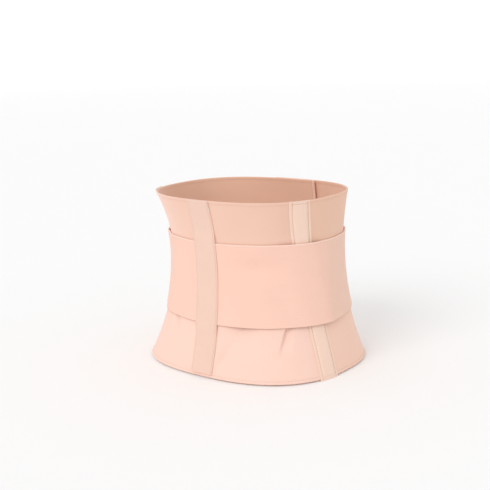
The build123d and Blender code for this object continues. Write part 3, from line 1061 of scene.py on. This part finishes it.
def centre_strip():
    """The strip, with a raised channel over each stay, and its stitches."""

    def outer(angle, height):
        x = from_strip_middle(angle, height)
        channels = 0.4 * bell((x - STAY_X) / 4.2)
        sewn = 0.2 * bell((x - STRIP_SEAM_X) / 0.6)
        edge = 0.8 * smooth((x - STRIP_HALF_WIDTH + 2.6) / 2.4)
        return strip_under(height) + STRIP_THICKNESS + channels - sewn - edge

    def inner(angle, height):
        on_strap = (height > STRAP_LOW - 0.3) & (height < STRAP_HIGH + 0.3)
        resting = np.where(on_strap, 2.3, 0.1)
        at_edge = smooth((from_strip_middle(angle, height) - 14.5) / 1.5)
        return strip_under(height) + (resting - strip_under(height)) * at_edge

    item = shell(
        "back_strip", on_strip(STRIP_HALF_WIDTH), on_strip(-STRIP_HALF_WIDTH),
        STRIP_LOW - 2.0, BELT_HEIGHT, outer, inner, strip_cloth, spacing=(0.8, 1.2), radius=0.7,
    )
    riding(item, "casing_fabric", "back", "centre_back_strip")
    low, high, run = STRIP_LOW, BELT_HEIGHT - 2, BELT_HEIGHT - STRIP_LOW
    raised = lambda angle, height: outer(angle, height) + 0.08
    lines = [upright_row(on_strip(x), low, high, raised, run) for x in (-15.6, 15.6)]
    rows = stitches("back_strip_stitches", lines, pale_thread, thickness=0.4)
    riding(rows, "casing_fabric", "back")
    return item, rows


# Hook and loop panels on the fronts


def panel(name, start_x, end_x, low, high, faces, right, material):
    """A hook or loop panel between two places at the front, its faces as distances from the belt."""
    base = lift(right)
    outer = lambda angle, height: base(angle) + faces[0]
    inner = lambda angle, height: base(angle) + faces[1]
    span = at_front(start_x), at_front(end_x)
    return shell(name, *span, low, high, outer, inner, material, spacing=(2.0, 2.0), radius=0.4)


def front_panels():
    """The hook panel, the loop panel it presses on, and the patch where the right strap lands."""
    tall = PANEL_INSET, BELT_HEIGHT - PANEL_INSET
    short = STRAP_LOW + TAPE_INSET, STRAP_HIGH - TAPE_INSET
    inside = -CLOTH - TAPE_GAP, -CLOTH - TAPE_GAP - HOOK_THICKNESS
    outside = TAPE_OUT, TAPE_GAP
    hooks = panel("hook_panel", -PANEL_END_X, PANEL_END_X, *tall, inside, True, hook_pile)
    loops = panel("loop_panel", -PANEL_END_X, LOOP_FAR_X, *tall, outside, False, loop_pile)
    landing = panel("landing_patch", *LANDING_X, *short, outside, True, loop_pile)
    riding(hooks, "hook_tape", "right_front", "front_hook_panel")
    riding(loops, "loop_tape", "left_front", "front_loop_panel")
    riding(landing, "loop_tape", "right_front", "strap_landing_patch")
    return hooks, loops, landing


def make_brace():
    """Builds every piece."""
    hook_panel, loop_panel, landing_patch = front_panels()
    for right in (True, False):
        belt = belt_half(right)
        trim = front_binding(right)
        for top in (True, False):
            trim += [hem(right, top), hem_stitches(right, top)]
        trim += [hook_panel, landing_patch] if right else [loop_panel]
        casing, casing_rows = side_casing(right)
        strap_half(right)
        end, end_trim = strap_end(right)
        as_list(end_trim)
    strip, strip_rows = centre_strip()


def set_material(node, material):
    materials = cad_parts[node].data.materials
    materials.clear()
    materials.append(material)


def finish_stays():
    """The stays and their tips keep their CAD shape, and get their looks here."""
    for node in ("back_stay_left", "back_stay_right", "side_stay_left", "side_stay_right"):
        set_material(node, steel)
    for node in ("back_stay_tips", "side_stay_tips"):
        set_material(node, dip_plastic)


# Camera, light and stage


def set_camera():
    """The camera that took the photo. Returns the direction it looks in, and its level right."""
    azimuth = math.radians(CAMERA_AZIMUTH)
    turned = azimuth + CAMERA_YAW
    ahead = math.cos(CAMERA_PITCH)
    look = Vector((-math.sin(turned) * ahead, math.cos(turned) * ahead, -math.sin(CAMERA_PITCH)))
    level = look.cross(Vector((0, 0, 1))).normalized()
    upward = level.cross(look)
    c, s = math.cos(CAMERA_ROLL), math.sin(CAMERA_ROLL)
    x = math.sin(azimuth) * CAMERA_DISTANCE
    y = -math.cos(azimuth) * CAMERA_DISTANCE + CENTRE_Y
    data = bpy.data.cameras.new("camera")
    data.lens = CAMERA_LENS
    data.sensor_width = CAMERA_SENSOR
    data.clip_end = 100
    camera = bpy.data.objects.new("camera", data)
    bpy.context.scene.collection.objects.link(camera)
    axes = Matrix((level * c - upward * s, level * s + upward * c, -look)).transposed().to_4x4()
    axes.translation = Vector((x, y, CAMERA_HEIGHT + GROUND_GAP)) * MM
    camera.matrix_world = axes
    bpy.context.scene.camera = camera
    return look, level


def set_sun(look, level):
    """A soft, even light from the camera's side."""
    flat_look = Vector((look.x, look.y, 0)).normalized()
    towards = -level * SUN_LEFT - flat_look * SUN_BEHIND + Vector((0, 0, SUN_UP))
    data = bpy.data.lights.new("key", "SUN")
    data.energy = SUN_STRENGTH
    data.angle = math.radians(SUN_SOFTNESS)
    data.color = (1.0, 0.995, 0.99)
    lamp = bpy.data.objects.new("key", data)
    bpy.context.scene.collection.objects.link(lamp)
    lamp.location = towards
    lamp.rotation_euler = towards.to_track_quat("Z", "Y").to_euler()


def set_sky():
    world = bpy.data.worlds.new("studio")
    bpy.context.scene.world = world
    world.use_nodes = True
    background = world.node_tree.nodes["Background"]
    background.inputs["Color"].default_value = (1.0, 1.0, 1.0, 1.0)
    background.inputs["Strength"].default_value = SKY_STRENGTH


def backdrop():
    """A round pale floor whose rim curves up far from the object."""
    profile = [(radius, 0.0) for radius in (0.05, 1.0, 3.0, 5.0, 6.5, 7.5)]
    for i in range(25):
        turn = math.pi / 2 * i / 24
        radius = FLOOR_RADIUS + RIM_HEIGHT * math.sin(turn)
        profile.append((radius, RIM_HEIGHT - RIM_HEIGHT * math.cos(turn)))
    count = 128
    points, quads = [], []
    for radius, height in profile:
        for k in range(count):
            turn = 2 * math.pi * k / count
            points.append((radius * math.cos(turn), radius * math.sin(turn), height))
    for i in range(len(profile) - 1):
        for k in range(count):
            n = (k + 1) % count
            quads.append((i * count + k, (i + 1) * count + k, (i + 1) * count + n, i * count + n))
    mesh = bpy.data.meshes.new("backdrop")
    mesh.from_pydata(points, [], [tuple(range(count))] + quads)
    mesh.polygons.foreach_set("use_smooth", [True] * (len(quads) + 1))
    n = Nodes("backdrop_paper")
    place = n.add("ShaderNodeTexCoord").outputs["Object"]
    base = n.mix(n.noise(place, 2.0), (0.955, 0.955, 0.955), (0.965, 0.965, 0.965))
    n.link(base, n.shader.inputs["Base Color"])
    n.shader.inputs["Roughness"].default_value = 0.9
    n.shader.inputs["Specular IOR Level"].default_value = 0.1
    mesh.materials.append(n.material)
    item = bpy.data.objects.new("backdrop", mesh)
    bpy.context.scene.collection.objects.link(item)


make_brace()
finish_stays()
look, level = set_camera()
backdrop()
set_sun(look, level)
set_sky()
bpy.context.scene.view_settings.view_transform = "Standard"
